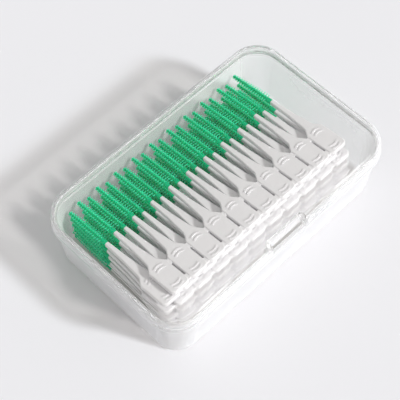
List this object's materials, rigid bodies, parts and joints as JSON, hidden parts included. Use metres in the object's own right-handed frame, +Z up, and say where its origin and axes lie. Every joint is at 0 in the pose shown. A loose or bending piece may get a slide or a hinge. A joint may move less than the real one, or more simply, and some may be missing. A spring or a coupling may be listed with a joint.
{
  "type": "interdental brush set in case",
  "caption": "Soft interdental brushes on snap-off handle strips, stacked in a clear rounded case with a hinged lid.",
  "frame": {"origin": "middle of the flat underside of the case", "axes": "+X along the case's long side, +Y from the thumb notch at the front to the hinge at the back, +Z up through the lid"},
  "size_m": [0.106, 0.067, 0.027],
  "materials": {
    "clear_plastic": "clear, slightly milky moulded polypropylene with a soft gloss",
    "handle_plastic": "pale grey-white moulded polypropylene, satin",
    "head_rubber": "green soft elastomer with fine bristles, satin"
  },
  "bodies": {
    "base": {"case_base": "clear_plastic", "hinge_web": "clear_plastic", "handle_strip_01": "handle_plastic", "brush_head_01_01": "head_rubber", "brush_head_01_02": "head_rubber", "brush_head_01_03": "head_rubber", "brush_head_01_04": "head_rubber", "brush_head_01_05": "head_rubber", "brush_head_01_06": "head_rubber", "brush_head_01_07": "head_rubber", "brush_head_01_08": "head_rubber", "brush_head_01_09": "head_rubber", "brush_head_01_10": "head_rubber", "handle_strip_02": "handle_plastic", "brush_head_02_01": "head_rubber", "brush_head_02_02": "head_rubber", "brush_head_02_03": "head_rubber", "brush_head_02_04": "head_rubber", "brush_head_02_05": "head_rubber", "brush_head_02_06": "head_rubber", "brush_head_02_07": "head_rubber", "brush_head_02_08": "head_rubber", "brush_head_02_09": "head_rubber", "brush_head_02_10": "head_rubber", "handle_strip_03": "handle_plastic", "brush_head_03_01": "head_rubber", "brush_head_03_02": "head_rubber", "brush_head_03_03": "head_rubber", "brush_head_03_04": "head_rubber", "brush_head_03_05": "head_rubber", "brush_head_03_06": "head_rubber", "brush_head_03_07": "head_rubber", "brush_head_03_08": "head_rubber", "brush_head_03_09": "head_rubber", "brush_head_03_10": "head_rubber", "handle_strip_04": "handle_plastic", "brush_head_04_01": "head_rubber", "brush_head_04_02": "head_rubber", "brush_head_04_03": "head_rubber", "brush_head_04_04": "head_rubber", "brush_head_04_05": "head_rubber", "brush_head_04_06": "head_rubber", "brush_head_04_07": "head_rubber", "brush_head_04_08": "head_rubber", "brush_head_04_09": "head_rubber", "brush_head_04_10": "head_rubber", "handle_strip_05": "handle_plastic", "brush_heads_05": "head_rubber", "handle_strip_06": "handle_plastic", "brush_heads_06": "head_rubber", "handle_strip_07": "handle_plastic", "brush_heads_07": "head_rubber", "handle_strip_08": "handle_plastic", "brush_heads_08": "head_rubber", "handle_strip_09": "handle_plastic", "brush_heads_09": "head_rubber", "handle_strip_10": "handle_plastic", "brush_heads_10": "head_rubber"},
    "lid": {"case_lid": "clear_plastic"}
  },
  "joints": [
    {"name": "lid_hinge", "type": "hinge", "parent": "base", "child": "lid", "pos_m": [0, 0.0334, 0.02154], "axis": [-1, 0, 0], "range_deg": [0, 180], "deforming": ["hinge_web"]}
  ]
}
